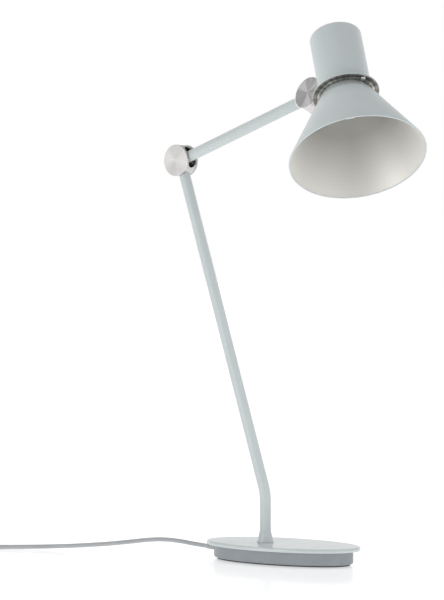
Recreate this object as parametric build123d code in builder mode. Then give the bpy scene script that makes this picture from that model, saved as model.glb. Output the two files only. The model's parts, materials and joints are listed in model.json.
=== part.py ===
from build123d import *
import os
from math import asin, atan2, cos, pi, radians, sin, sqrt, tan

# Architect desk lamp: an oval weighted base, a bent post that swivels in it, a slotted elbow
# drum, an upper arm, a rolling and tilting head knuckle and a conical shade under a round cap.
#
# Millimetres, +Z up. The origin is on the post's swivel axis, level with the surface that the
# lamp stands on. The post leans back towards -X and the arm reaches forward towards +X, both
# in the XZ plane. The oval base is turned a little about the post.

# ---------------------------------------------------------------- driving dimensions
# Base
base_yaw = 14.4
base_forward = 24.0
base_height = 23.0
plate_half_length = 102.0
plate_half_width = 50.5
plate_thickness = 5.0
weight_inset = 9.0
pad_thickness = 1.5
pad_inset = 4.5
bush_radius = 9.0
well_radius = 14.5
well_top = 14.2
outlet_height = 11.5
outlet_turn = 6.8
channel_width = 8.0
channel_top = 14.5
gland_radius = 5.0
gland_length = 15.0
sleeve_length = 20.0
sleeve_radius = 4.4
collar_height = 13.0
collar_radius = 10.3

# Socket screws that hold the plate on the weight, in the base's own plane
screw_places = [(-48, -14), (60, 16), (60, -16)]
screw_radius = 2.5
screw_head_radius = 4.3
screw_head_height = 3.5
screw_head_gap = 0.5
screw_bite = 3.0

# Tubes and their joints
tube_radius = 7.0
tube_bore = 5.8
lead_radius = 2.1
post_bottom = 9.5
post_bend_height = 83.5
post_lean = 18.7
post_upper_length = 437.5
post_bend_radius = 60.0
arm_rise = 18.9
arm_length = 228.0
running_gap = 0.06

# The drums at the elbow and at the head are the same size
drum_radius = 19.7
drum_bore = 17.3
drum_width = 16.6
drum_chamfer = 0.6
slot_gap = 0.4
disc_radius = 20.0
disc_thickness = 2.2
disc_edge = 0.5
pin_radius = 3.0
pin_seat = 1.2
eye_radius = 9.5
washer_thickness = 1.2
washer_radius = 7.5
elbow_down = 25.0
elbow_up = 22.0
tilt_down = 38.0
tilt_up = 42.0

# Head: roll about the arm, tilt about the knuckle, and the shade's place beside it
head_roll = -20.2
head_tilt = 80.6
knuckle_to_axis = 48.2
knuckle_above_rim = 28.7
cap_radius = 31.6
cap_height = 86.6
cap_wall = 1.0
rim_radius = 40.2
cone_top_radius = 30.8
cone_mouth_radius = 81.5
cone_depth = 93.8
cone_wall = 1.0
lip_radius = 0.9
flange_hole = 24.0
ring_hole = 23.5
ring_screw_circle = 36.0
ring_screw_radius = 1.5
ring_screw_head = 2.7
first_screw_angle = 14.0
cone_rivet_circle = 27.0
bracket_rivet_offset = 8.6
rivet_radius = 1.4
rivet_head_radius = 2.4
rivet_head_height = 0.8

# Push switch in the cap's top
button_radius = 4.0
button_travel = 2.5
bezel_radius = 7.2
bezel_height = 1.6
switch_hole = 5.5
switch_body_radius = 8.0
spring_radius = 3.4
spring_core = 1.2

# Lead
cord_diameter = 5.5
coil_inner_turn = 28.5
coil_layers = 4
coil_centre = (-384.0, -152.0)
coil_start_angle = -46.0
tie_angle = radians(150)
tie_width = 8.0
tie_wall = 0.8

# Flat two-pin plug
plug_width = 33.0
plug_thickness = 13.7
plug_neck = 9.0
plug_shoulder = 22.0
plug_block = 13.0
plug_height = 6.9
pin_spacing = 18.6
plug_pin_radius = 2.0
plug_pin_length = 19.0

os.makedirs("parts", exist_ok=True)


def save(builder, name):
    """Label a finished piece and write it."""
    builder.part.label = name
    export_step(builder.part, f"parts/{name}.step")


def annulus(plane, outer, inner, thickness):
    """A flat ring that stands on a plane."""
    with BuildPart() as ring:
        with BuildSketch(plane):
            Circle(outer)
            Circle(inner, mode=Mode.SUBTRACT)
        extrude(amount=thickness)
    return ring


# ---------------------------------------------------------------- planes and key points
yaw = radians(base_yaw)
base_plane = Plane(
    origin=(base_forward * cos(yaw), base_forward * sin(yaw), 0),
    x_dir=(cos(yaw), sin(yaw), 0),
    z_dir=(0, 0, 1),
)
plate_bottom = base_height - plate_thickness

lean = radians(post_lean)
bend = Vector(0, 0, post_bend_height)
post_dir = Vector(-sin(lean), 0, cos(lean))
elbow = bend + post_dir * post_upper_length

rise = radians(arm_rise)
arm_dir = Vector(cos(rise), 0, sin(rise))
elbow_axis = Vector(0, -1, 0)
head = elbow + arm_dir * arm_length

roll = radians(head_roll)
tilt = radians(head_tilt)
tilt_axis = elbow_axis * cos(roll) + arm_dir.cross(elbow_axis) * sin(roll)
under_arm = arm_dir.cross(tilt_axis)
shade_dir = arm_dir * cos(tilt) + under_arm * sin(tilt)
side_dir = arm_dir * sin(tilt) - under_arm * cos(tilt)
rim = head + side_dir * knuckle_to_axis + shade_dir * knuckle_above_rim

elbow_plane = Plane(origin=elbow, x_dir=arm_dir, z_dir=elbow_axis)
head_plane = Plane(origin=head, x_dir=side_dir, z_dir=tilt_axis)
arm_plane = Plane(origin=elbow, x_dir=elbow_axis, z_dir=arm_dir)
# Looking along the shade's axis, and a half section through it: x is the radius, y the depth
shade_plane = Plane(origin=rim, x_dir=side_dir, z_dir=shade_dir)
shade_section = Plane(origin=rim, x_dir=side_dir, z_dir=-tilt_axis)
shade_axis = Axis(rim, shade_dir)


def on_shade(points):
    """A closed half section of the shade, revolved round the shade's axis."""
    with BuildPart() as turned:
        with BuildSketch(shade_section):
            with BuildLine():
                Polyline(*points, close=True)
            make_face()
        revolve(axis=shade_axis)
    return turned


# ---------------------------------------------------------------- base
with BuildPart() as base_plate:
    with BuildSketch(base_plane.offset(plate_bottom)):
        Ellipse(plate_half_length, plate_half_width)
    extrude(amount=plate_thickness)
    fillet(base_plate.edges().group_by(Axis.Z)[-1], radius=2.2)
    fillet(base_plate.edges().group_by(Axis.Z)[0], radius=1.6)
    with BuildSketch(Plane.XY.offset(plate_bottom)):
        Circle(bush_radius)
    extrude(amount=plate_thickness, mode=Mode.SUBTRACT)
    # Blind holes for the screws
    with BuildSketch(base_plane.offset(plate_bottom)):
        with Locations(*screw_places):
            Circle(screw_radius)
    extrude(amount=screw_bite, mode=Mode.SUBTRACT)

# Where a straight line from the post to the rear leaves the weight's oval wall
outlet_angle = radians(180 + outlet_turn)
outlet_dir = Vector(cos(outlet_angle), sin(outlet_angle), 0)
weight_a = plate_half_length - weight_inset
weight_b = plate_half_width - weight_inset
ray = (cos(outlet_angle - yaw), sin(outlet_angle - yaw))
qa = (ray[0] / weight_a) ** 2 + (ray[1] / weight_b) ** 2
qb = -2 * base_forward * ray[0] / weight_a**2
qc = (base_forward / weight_a) ** 2 - 1
outlet_reach = (-qb + sqrt(qb**2 - 4 * qa * qc)) / (2 * qa)
outlet_plane = Plane(origin=(0, 0, outlet_height), x_dir=(0, 0, 1), z_dir=outlet_dir)
gland_start = outlet_reach - gland_length

with BuildPart() as base_weight:
    with BuildSketch(base_plane.offset(pad_thickness)):
        Ellipse(weight_a, weight_b)
    extrude(amount=plate_bottom - pad_thickness)
    fillet(base_weight.edges().group_by(Axis.Z)[0], radius=3.5)
    with BuildSketch(Plane.XY.offset(pad_thickness)):
        Circle(well_radius)
    extrude(amount=well_top - pad_thickness, mode=Mode.SUBTRACT)
    with BuildSketch(Plane.XY.offset(well_top)):
        Circle(bush_radius)
    extrude(amount=plate_bottom - well_top, mode=Mode.SUBTRACT)
    # Channel for the lead, cast open at the underside
    with BuildSketch(Plane(origin=(0, 0, pad_thickness), x_dir=outlet_dir, z_dir=(0, 0, 1))):
        with Locations((gland_start / 2, 0)):
            Rectangle(gland_start, channel_width)
    extrude(amount=channel_top - pad_thickness, mode=Mode.SUBTRACT)
    with BuildSketch(outlet_plane.offset(gland_start - 0.5)):
        Circle(gland_radius)
    extrude(amount=gland_length + 5, mode=Mode.SUBTRACT)
    # Screw shanks and the pockets for their heads
    with BuildSketch(base_plane.offset(pad_thickness)):
        with Locations(*screw_places):
            Circle(screw_radius)
    extrude(amount=plate_bottom, mode=Mode.SUBTRACT)
    with BuildSketch(base_plane.offset(pad_thickness)):
        with Locations(*screw_places):
            Circle(screw_head_radius + 0.4)
    extrude(amount=screw_head_height + screw_head_gap, mode=Mode.SUBTRACT)

screw_bottom = pad_thickness + screw_head_gap
shank_bottom = screw_bottom + screw_head_height
with BuildPart() as base_screws:
    with BuildSketch(base_plane.offset(screw_bottom)):
        with Locations(*screw_places):
            Circle(screw_head_radius)
    extrude(amount=screw_head_height)
    with BuildSketch(base_plane.offset(shank_bottom)):
        with Locations(*screw_places):
            Circle(screw_radius)
    extrude(amount=plate_bottom + screw_bite - shank_bottom)
    # Hexagon sockets
    with BuildSketch(base_plane.offset(screw_bottom)):
        with Locations(*screw_places):
            RegularPolygon(2, 6)
    extrude(amount=2, mode=Mode.SUBTRACT)

with BuildPart() as base_pad:
    with BuildSketch(base_plane):
        Ellipse(weight_a - pad_inset, weight_b - pad_inset)
    extrude(amount=pad_thickness)

bush_bottom = 14.0
swivel_washer_thickness = 0.9
swivel_washer_radius = 11.5
swivel_bush = annulus(
    Plane.XY.offset(bush_bottom), bush_radius, tube_radius + running_gap, base_height - 0.1 - bush_bottom
)
swivel_washer = annulus(
    Plane.XY.offset(bush_bottom - swivel_washer_thickness),
    swivel_washer_radius, tube_radius + 0.4, swivel_washer_thickness,
)

# The lead's strain relief: a round body in the weight's rear wall and a tapered sleeve outside
with BuildPart() as cord_gland:
    with BuildSketch(outlet_plane.offset(gland_start)):
        Circle(gland_radius)
    extrude(amount=gland_length)
    with BuildSketch(outlet_plane.offset(outlet_reach)):
        Circle(sleeve_radius)
    with BuildSketch(outlet_plane.offset(outlet_reach + sleeve_length)):
        Circle(cord_diameter / 2 + 0.5)
    loft()
    with BuildSketch(outlet_plane.offset(gland_start)):
        Circle(cord_diameter / 2)
    extrude(amount=gland_length + sleeve_length, mode=Mode.SUBTRACT)

# Lead inside the base: along the channel, then up into the foot of the post
lead_low = Vector(0, 0, 5.2)
lead_high = Vector(0, 0, outlet_height)
base_lead_top = 30.0
with BuildPart() as base_lead:
    with BuildLine():
        base_lead_path = FilletPolyline(
            outlet_dir * (gland_start + 6) + lead_high,
            outlet_dir * 42 + lead_high,
            outlet_dir * 24 + lead_low,
            lead_low,
            Vector(0, 0, base_lead_top),
            radius=[20, 20, 9.5],
        )
    with BuildSketch(Plane(origin=base_lead_path @ 0, z_dir=base_lead_path % 0)):
        Circle(lead_radius)
    sweep()

# ---------------------------------------------------------------- post
with BuildPart() as post:
    with BuildLine():
        FilletPolyline(
            (0, 0, post_bottom),
            bend,
            elbow - post_dir * (drum_bore - 1),
            radius=post_bend_radius,
        )
    with BuildSketch(Plane.XY.offset(post_bottom)):
        Circle(tube_radius)
        Circle(tube_bore, mode=Mode.SUBTRACT)
    sweep()

# Its flared foot: a short upright edge, a slightly hollow flank and a thin top edge
collar_bottom = base_height + 0.1
collar_top = base_height + collar_height
collar_waist = 8.9
flare_start = (collar_radius, collar_bottom + 0.9)
flare_end = (tube_radius + 0.3, collar_top)
with BuildPart() as post_collar:
    with BuildSketch(Plane.XZ):
        with BuildLine():
            Polyline((tube_radius, collar_bottom), (collar_radius, collar_bottom), flare_start)
            ThreePointArc(flare_start, (collar_waist, base_height + 6.0), flare_end)
            Polyline(flare_end, (tube_radius, collar_top), (tube_radius, collar_bottom))
        make_face()
    revolve(axis=Axis.Z)

nut_half_width = 11.0
nut_height = 3.3
with BuildPart() as post_nut:
    with BuildSketch(Plane.XY.offset(post_bottom + 0.2)):
        RegularPolygon(nut_half_width, 6, major_radius=False)
        Circle(tube_radius, mode=Mode.SUBTRACT)
    extrude(amount=nut_height)

post_lead_bottom = base_lead_top + 0.6
with BuildPart() as post_lead:
    with BuildLine():
        FilletPolyline(
            (0, 0, post_lead_bottom), bend, elbow - post_dir * (drum_radius + 4), radius=post_bend_radius
        )
    with BuildSketch(Plane.XY.offset(post_lead_bottom)):
        Circle(lead_radius)
    sweep()


# ---------------------------------------------------------------- the two slotted drums
def drum(plane, low, high, slot_radius, stem_dir, hole_radius):
    """A short tube with a rounded slot from one limit angle to the other, and a stem hole."""
    reach = 2 * drum_radius
    slot_angles = [radians(low + (high - low) * step / 4) for step in range(5)]
    fan = [(reach * cos(angle), reach * sin(angle)) for angle in slot_angles]
    with BuildPart() as ring:
        with BuildSketch(plane.offset(-drum_width / 2)):
            Circle(drum_radius)
            Circle(drum_bore, mode=Mode.SUBTRACT)
        extrude(amount=drum_width)
        outer_edges = ring.edges().filter_by(GeomType.CIRCLE).sort_by(SortBy.RADIUS)[-2:]
        chamfer(outer_edges, length=drum_chamfer)
        for angle in (slot_angles[0], slot_angles[-1]):
            outward = plane.x_dir * cos(angle) + plane.y_dir * sin(angle)
            with BuildSketch(Plane(origin=plane.origin, z_dir=outward)):
                Circle(slot_radius)
            extrude(amount=reach, mode=Mode.SUBTRACT)
        with BuildSketch(plane.offset(-slot_radius)):
            with BuildLine():
                Polyline((0, 0), *fan, close=True)
            make_face()
        extrude(amount=2 * slot_radius, mode=Mode.SUBTRACT)
        with BuildSketch(Plane(origin=plane.origin, z_dir=stem_dir)):
            Circle(hole_radius)
        extrude(amount=reach, mode=Mode.SUBTRACT)
    return ring


def disc(plane, side):
    """The round cheek on one side of a drum, with the seat of the pin in its inner face."""
    inner_face = drum_width / 2 * side
    with BuildPart() as cheek:
        with BuildSketch(plane.offset(inner_face)):
            Circle(disc_radius)
        extrude(amount=disc_thickness * side)
        far_edge = cheek.edges().sort_by(lambda e: (e.center() - plane.origin).dot(plane.z_dir) * side)
        fillet(far_edge[-1], radius=disc_edge)
        with BuildSketch(plane.offset(inner_face)):
            Circle(pin_radius)
        extrude(amount=pin_seat * side, mode=Mode.SUBTRACT)
    return cheek


def pin(plane):
    """The pin between two cheeks."""
    with BuildPart() as shaft:
        with BuildSketch(plane.offset(-drum_width / 2 - pin_seat)):
            Circle(pin_radius)
        extrude(amount=drum_width + 2 * pin_seat)
    return shaft


def friction_washers(plane):
    """One washer against each cheek."""
    with BuildPart() as washers:
        for start in (-drum_width / 2, drum_width / 2 - washer_thickness):
            with BuildSketch(plane.offset(start)):
                Circle(washer_radius)
                Circle(pin_radius, mode=Mode.SUBTRACT)
            extrude(amount=washer_thickness)
    return washers


eye_width = drum_width - 2 * washer_thickness - 0.1

elbow_drum = drum(elbow_plane, -elbow_down, elbow_up, tube_radius + slot_gap, -post_dir, tube_radius)
elbow_cap_front = disc(elbow_plane, 1)
elbow_cap_back = disc(elbow_plane, -1)
elbow_pin = pin(elbow_plane)
elbow_washers = friction_washers(elbow_plane)

# ---------------------------------------------------------------- upper arm
arm_start = 12.5
head_stem_gap = 24.0
arm_end = arm_length - head_stem_gap
eye_plug_length = 16.0
with BuildPart() as arm_eye:
    with BuildSketch(elbow_plane.offset(-eye_width / 2)):
        Circle(eye_radius)
    extrude(amount=eye_width)
    with BuildSketch(arm_plane):
        Circle(tube_radius)
    extrude(amount=arm_start)
    with BuildSketch(arm_plane.offset(arm_start)):
        Circle(tube_bore)
    extrude(amount=eye_plug_length)
    with BuildSketch(elbow_plane.offset(-eye_width)):
        Circle(pin_radius + running_gap)
    extrude(amount=2 * eye_width, mode=Mode.SUBTRACT)

upper_arm = annulus(arm_plane.offset(arm_start), tube_radius, tube_bore, arm_end - arm_start)

bush_length = 14.0
lip_thickness = 1.4
stem_radius = 4.0
with BuildPart() as arm_bush:
    with BuildSketch(arm_plane.offset(arm_end - bush_length)):
        Circle(tube_bore)
    extrude(amount=bush_length)
    with BuildSketch(arm_plane.offset(arm_end)):
        Circle(tube_radius + 0.3)
    extrude(amount=lip_thickness)
    with BuildSketch(arm_plane.offset(arm_end - bush_length)):
        Circle(stem_radius + running_gap)
    extrude(amount=bush_length + lip_thickness, mode=Mode.SUBTRACT)

arm_lead_start = arm_start + eye_plug_length + 6
with BuildPart() as arm_lead:
    with BuildSketch(arm_plane.offset(arm_lead_start)):
        Circle(lead_radius)
    extrude(amount=arm_end - bush_length - 16 - arm_lead_start)

# ---------------------------------------------------------------- head knuckle
stem_tail = arm_end - bush_length - 4.0
shoulder_radius = 6.2
shoulder_start = arm_end + lip_thickness + 0.1
with BuildPart() as head_stem:
    with BuildSketch(arm_plane.offset(stem_tail)):
        Circle(stem_radius)
    extrude(amount=arm_length - 14.0 - stem_tail)
    with BuildSketch(arm_plane.offset(shoulder_start)):
        Circle(shoulder_radius)
    extrude(amount=arm_length - drum_radius - shoulder_start)

clip_radius = 5.4
stem_clip = annulus(arm_plane.offset(stem_tail + 1.5), clip_radius, stem_radius, 1.0)

tongue_radius = 6.0
head_drum = drum(head_plane, -tilt_down, tilt_up, tongue_radius + slot_gap, -arm_dir, stem_radius)
head_cap_front = disc(head_plane, 1)
head_cap_back = disc(head_plane, -1)
head_pin = pin(head_plane)
head_washers = friction_washers(head_plane)

# ---------------------------------------------------------------- shade
# A flat is pressed into the cap's side, so that the knuckle seats close to it
flat_radius = knuckle_to_axis - disc_radius - 0.15
flat_half_height = 14.0
flat_cut = 40.0
flat_centre = -flat_radius - flat_cut / 2
rim_thickness = 1.6
rim_top = -1.2
with BuildPart() as cap_hollow:
    with BuildSketch(shade_plane.offset(-cap_height + cap_wall)):
        Circle(cap_radius - cap_wall)
    extrude(amount=cap_height + 5)
    with BuildSketch(shade_plane.offset(-knuckle_above_rim - flat_half_height - cap_wall)):
        with Locations((flat_centre + cap_wall, 0)):
            Rectangle(flat_cut, 2 * flat_cut)
    extrude(amount=2 * flat_half_height + 2 * cap_wall, mode=Mode.SUBTRACT)

with BuildPart() as shade_cap:
    with BuildSketch(shade_section):
        with BuildLine():
            Polyline(
                (0, -cap_height),
                (cap_radius, -cap_height),
                (cap_radius, rim_top),
                (rim_radius, rim_top),
                (rim_radius, rim_top + rim_thickness),
                (0, rim_top + rim_thickness),
                close=True,
            )
        make_face()
    revolve(axis=shade_axis)
    crown = shade_cap.edges().filter_by(GeomType.CIRCLE)
    crown = crown.sort_by(lambda e: (e.center() - rim).dot(shade_dir))
    fillet(crown[0], radius=1.6)
    with BuildSketch(shade_plane.offset(-knuckle_above_rim - flat_half_height)):
        with Locations((flat_centre, 0)):
            Rectangle(flat_cut, 2 * flat_cut)
    extrude(amount=2 * flat_half_height, mode=Mode.SUBTRACT)
    add(cap_hollow.part, mode=Mode.SUBTRACT)
    # Hole for the bracket's tongue, for the switch and for the rim's screws
    with BuildSketch(Plane(origin=head, x_dir=tilt_axis, z_dir=side_dir)):
        Circle(tongue_radius)
    extrude(amount=knuckle_to_axis, mode=Mode.SUBTRACT)
    with BuildSketch(shade_plane.offset(-cap_height)):
        Circle(switch_hole)
    extrude(amount=cap_wall, mode=Mode.SUBTRACT)
    with BuildSketch(shade_plane.offset(rim_top)):
        with PolarLocations(ring_screw_circle, 2, start_angle=first_screw_angle):
            Circle(ring_screw_radius)
    extrude(amount=rim_thickness, mode=Mode.SUBTRACT)
    # Rivet holes above and below the tongue
    with BuildSketch(Plane(origin=head, x_dir=tilt_axis, z_dir=side_dir)):
        with Locations((0, bracket_rivet_offset), (0, -bracket_rivet_offset)):
            Circle(rivet_radius)
    extrude(amount=knuckle_to_axis, mode=Mode.SUBTRACT)

ring_top = rim_top + rim_thickness
ring_thickness = 1.2
cone_top = ring_top + ring_thickness
with BuildPart() as shade_ring:
    with BuildSketch(shade_plane.offset(ring_top)):
        Circle(rim_radius - 0.4)
        Circle(ring_hole, mode=Mode.SUBTRACT)
        with PolarLocations(ring_screw_circle, 2, start_angle=first_screw_angle):
            Circle(ring_screw_radius, mode=Mode.SUBTRACT)
        with PolarLocations(cone_rivet_circle, 3, start_angle=60):
            Circle(rivet_radius, mode=Mode.SUBTRACT)
    extrude(amount=ring_thickness)

# The cone's wall is one sheet: an inward flange at the top, a straight flank, a rolled lip
flank = atan2(cone_mouth_radius - cone_top_radius, cone_depth - cone_top)
wall_across = cone_wall / cos(flank)
with BuildPart() as shade_cone:
    with BuildSketch(shade_section):
        with BuildLine():
            Polyline(
                (flange_hole, cone_top),
                (cone_top_radius, cone_top),
                (cone_mouth_radius, cone_depth),
                (cone_mouth_radius - wall_across, cone_depth),
                (cone_top_radius - wall_across + cone_wall * tan(flank), cone_top + cone_wall),
                (flange_hole, cone_top + cone_wall),
                close=True,
            )
        make_face()
        with Locations((cone_mouth_radius - wall_across / 2, cone_depth)):
            Circle(lip_radius)
    revolve(axis=shade_axis)
    with BuildSketch(shade_plane.offset(cone_top)):
        with PolarLocations(cone_rivet_circle, 3, start_angle=60):
            Circle(rivet_radius)
    extrude(amount=cone_wall, mode=Mode.SUBTRACT)

with BuildPart() as ring_screws:
    with BuildSketch(shade_plane.offset(rim_top)):
        with PolarLocations(ring_screw_circle, 2, start_angle=first_screw_angle):
            Circle(ring_screw_radius)
    extrude(amount=cone_top - rim_top)
    with BuildSketch(shade_plane.offset(cone_top)):
        with PolarLocations(ring_screw_circle, 2, start_angle=first_screw_angle):
            Circle(ring_screw_head)
    extrude(amount=2.0)
    head_rims = ring_screws.edges().filter_by(GeomType.CIRCLE)
    head_rims = head_rims.sort_by(lambda e: (e.center() - rim).dot(shade_dir))
    fillet(head_rims[-2:], radius=1.2)

with BuildPart() as cone_rivets:
    with BuildSketch(shade_plane.offset(ring_top - rivet_head_height)):
        with PolarLocations(cone_rivet_circle, 3, start_angle=60):
            Circle(rivet_head_radius)
    extrude(amount=rivet_head_height)
    with BuildSketch(shade_plane.offset(ring_top)):
        with PolarLocations(cone_rivet_circle, 3, start_angle=60):
            Circle(rivet_radius)
    extrude(amount=ring_thickness + cone_wall)
    with BuildSketch(shade_plane.offset(cone_top + cone_wall)):
        with PolarLocations(cone_rivet_circle, 3, start_angle=60):
            Circle(rivet_head_radius)
    extrude(amount=rivet_head_height)

# ---------------------------------------------------------------- bracket, holder and lamp
holder_radius = 13.0
holder_top = -64.0
holder_mouth = -22.0
clamp_wall = 2.2
plate_start = knuckle_to_axis - flat_radius + cap_wall
bracket_plate = 2.5
bracket_width = 22.0
bracket_length = 23.0
strap_reach = 16.0
strap_width = 10.0
strap_thickness = 3.0
tongue_plane = Plane(origin=head, x_dir=tilt_axis, z_dir=side_dir)
with BuildPart() as shade_bracket:
    with BuildSketch(head_plane.offset(-eye_width / 2)):
        Circle(eye_radius)
    extrude(amount=eye_width)
    with BuildSketch(tongue_plane):
        Circle(tongue_radius)
    extrude(amount=plate_start)
    with BuildSketch(tongue_plane.offset(plate_start)):
        Rectangle(bracket_width, bracket_length)
    extrude(amount=bracket_plate)
    # Strap to the lamp holder's clamp
    with BuildSketch(shade_plane.offset(-knuckle_above_rim - 14.5)):
        with Locations((-knuckle_to_axis + plate_start + strap_reach / 2, 0)):
            Rectangle(strap_reach, strap_width)
    extrude(amount=strap_thickness)
    with BuildSketch(shade_plane.offset(holder_top)):
        Circle(holder_radius + clamp_wall)
    extrude(amount=60, mode=Mode.SUBTRACT)
    with BuildSketch(head_plane.offset(-eye_width)):
        Circle(pin_radius + running_gap)
    extrude(amount=2 * eye_width, mode=Mode.SUBTRACT)
    with BuildSketch(tongue_plane.offset(plate_start)):
        with Locations((0, bracket_rivet_offset), (0, -bracket_rivet_offset)):
            Circle(rivet_radius)
    extrude(amount=bracket_plate, mode=Mode.SUBTRACT)

with BuildPart() as bracket_rivets:
    with BuildSketch(tongue_plane.offset(plate_start - cap_wall)):
        with Locations((0, bracket_rivet_offset), (0, -bracket_rivet_offset)):
            Circle(rivet_radius)
    extrude(amount=cap_wall + bracket_plate)
    with BuildSketch(tongue_plane.offset(plate_start + bracket_plate)):
        with Locations((0, bracket_rivet_offset), (0, -bracket_rivet_offset)):
            Circle(rivet_head_radius)
    extrude(amount=1.0)

holder_clamp = annulus(
    shade_plane.offset(-knuckle_above_rim - 17), holder_radius + clamp_wall, holder_radius, 8
)

bulb_screw_radius = 7.0
lamp_holder = on_shade([
    (0, holder_top),
    (10, holder_top),
    (holder_radius, holder_top + 3),
    (holder_radius, holder_mouth),
    (bulb_screw_radius, holder_mouth),
    (bulb_screw_radius, holder_mouth - 27),
    (0, holder_mouth - 27),
])

base_tip = holder_mouth - 26.5
bulb_base = on_shade([
    (0, base_tip),
    (3, base_tip),
    (bulb_screw_radius, base_tip + 4),
    (bulb_screw_radius, holder_mouth + 2),
    (0, holder_mouth + 2),
])

# A round bulb on a flared neck, blown as a thin shell
bulb_radius = 22.5
bulb_centre = 9.0
bulb_foot = holder_mouth + 2
neck_angle = asin(9.5 / bulb_radius)


def bulb_outline(shrink):
    """Half section of the bulb, made smaller by the glass's thickness."""
    radius = bulb_radius - shrink
    neck = 8.0 - shrink
    join = (radius * sin(neck_angle * 1.9), bulb_centre - radius * cos(neck_angle * 1.9))
    with BuildLine(mode=Mode.PRIVATE) as outline:
        Line((0, bulb_foot + shrink), (neck, bulb_foot + shrink))
        Line((neck, bulb_foot + shrink), join)
        ThreePointArc(join, (radius, bulb_centre), (0, bulb_centre + radius))
        Line((0, bulb_centre + radius), (0, bulb_foot + shrink))
    return outline.line


with BuildPart() as bulb_hollow:
    with BuildSketch(shade_section):
        with BuildLine():
            add(bulb_outline(0.9))
        make_face()
    revolve(axis=shade_axis)
with BuildPart() as bulb_glass:
    with BuildSketch(shade_section):
        with BuildLine():
            add(bulb_outline(0))
        make_face()
    revolve(axis=shade_axis)
    add(bulb_hollow.part, mode=Mode.SUBTRACT)

# ---------------------------------------------------------------- push switch in the cap's top
bezel_top = -cap_height - bezel_height
switch_floor = -cap_height + 13.5
switch_body = on_shade([
    (button_radius + running_gap, bezel_top),
    (bezel_radius, bezel_top),
    (bezel_radius, -cap_height),
    (switch_hole, -cap_height),
    (switch_hole, -cap_height + cap_wall),
    (switch_body_radius, -cap_height + cap_wall),
    (switch_body_radius, switch_floor + 1.5),
    (0, switch_floor + 1.5),
    (0, switch_floor),
    (button_radius + running_gap, switch_floor),
])

button_foot = switch_floor - 6.0
button_top = bezel_top - button_travel - 0.5
with BuildPart() as switch_button:
    with BuildSketch(shade_plane.offset(button_top)):
        Circle(button_radius)
    extrude(amount=button_foot - button_top)
    button_rims = switch_button.edges().filter_by(GeomType.CIRCLE)
    button_rims = button_rims.sort_by(lambda e: (e.center() - rim).dot(shade_dir))
    fillet(button_rims[0], radius=0.8)

# Flat coils of the return spring, joined by a thin core so that it is one body
with BuildPart() as switch_spring:
    with BuildSketch(shade_plane.offset(button_foot)):
        Circle(spring_core)
    extrude(amount=switch_floor - button_foot)
    for turn in range(4):
        with BuildSketch(shade_plane.offset(button_foot + 0.3 + turn * 1.6)):
            Circle(spring_radius)
        extrude(amount=0.6)

# ---------------------------------------------------------------- lead on the table
cord_radius = cord_diameter / 2
cord_start = outlet_dir * (outlet_reach + sleeve_length) + Vector(0, 0, outlet_height)
coil_outer_turn = coil_inner_turn + cord_diameter
start_angle = radians(coil_start_angle)
coil_entry = Vector(
    coil_centre[0] + coil_outer_turn * cos(start_angle),
    coil_centre[1] + coil_outer_turn * sin(start_angle),
    cord_radius,
)
cord_route = [
    cord_start,
    Vector(-106, -12.5, 12.5),
    Vector(-123, -18, 15),
    Vector(-141, -28, 17),
    Vector(-158, -40, 16.5),
    Vector(-180, -55, 13),
    Vector(-207, -71, 9.5),
    Vector(-238, -87, 6.5),
    Vector(-270, -103.5, 4.2),
    Vector(-301, -122.5, 3),
    Vector(-329, -146, 2.8),
    coil_entry,
]


def corner_radii(points):
    """Each corner's arc: 0.45 of its shorter run over the tangent of half the turn."""
    radii = []
    for before, corner, after in zip(points, points[1:], points[2:]):
        incoming = corner - before
        outgoing = after - corner
        half_turn = radians(incoming.get_angle(outgoing)) / 2
        radii.append(0.45 * min(incoming.length, outgoing.length) / tan(half_turn))
    return radii


def cord_tube(points):
    """A round lead: straight runs joined by tangent arcs."""
    with BuildPart() as tube:
        with BuildLine():
            path = FilletPolyline(*points, radius=corner_radii(points))
        with BuildSketch(Plane(origin=path @ 0, z_dir=path % 0)):
            Circle(cord_radius)
        sweep()
    expected = pi * cord_radius**2 * path.length
    print("lead: length", round(path.length, 1), "volume", round(tube.part.volume / expected, 4),
          "radii", [round(r) for r in corner_radii(points)])
    return tube


cord = cord_tube(cord_route)

coil_height = coil_layers * cord_diameter
with BuildPart() as cord_coil:
    with BuildSketch():
        with Locations(coil_centre):
            Circle(coil_outer_turn + cord_radius)
            Circle(coil_inner_turn - cord_radius, mode=Mode.SUBTRACT)
    extrude(amount=coil_height)
    fillet(cord_coil.edges().filter_by(GeomType.CIRCLE), radius=2.0)

# The last turn leaves the top of the coil and comes down to the plug beside it
heading = Vector(sin(start_angle), -cos(start_angle), 0)
tail_start = Vector(
    coil_entry.X,
    coil_entry.Y,
    coil_height - cord_radius,
)
tail_route = [
    tail_start,
    tail_start + heading * 20,
    tail_start + heading * 38 + Vector(0, 0, -4.5),
    tail_start + heading * 56 + Vector(0, 0, plug_height - tail_start.Z + 1.2),
    tail_start + heading * 74 + Vector(0, 0, plug_height - tail_start.Z),
]
cord_tail = cord_tube(tail_route)

tie_place = Vector(
    coil_centre[0] + (coil_inner_turn + cord_radius) * cos(tie_angle),
    coil_centre[1] + (coil_inner_turn + cord_radius) * sin(tie_angle),
    coil_height / 2,
)
tie_plane = Plane(
    origin=tie_place,
    x_dir=(cos(tie_angle), sin(tie_angle), 0),
    z_dir=(-sin(tie_angle), cos(tie_angle), 0),
)
with BuildPart() as coil_tie:
    with BuildSketch(tie_plane.offset(-tie_width / 2)):
        RectangleRounded(2 * cord_diameter + 2 * tie_wall, coil_height, 2.4)
        RectangleRounded(2 * cord_diameter, coil_height - 2 * tie_wall, 1.8, mode=Mode.SUBTRACT)
    extrude(amount=tie_width)

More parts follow.
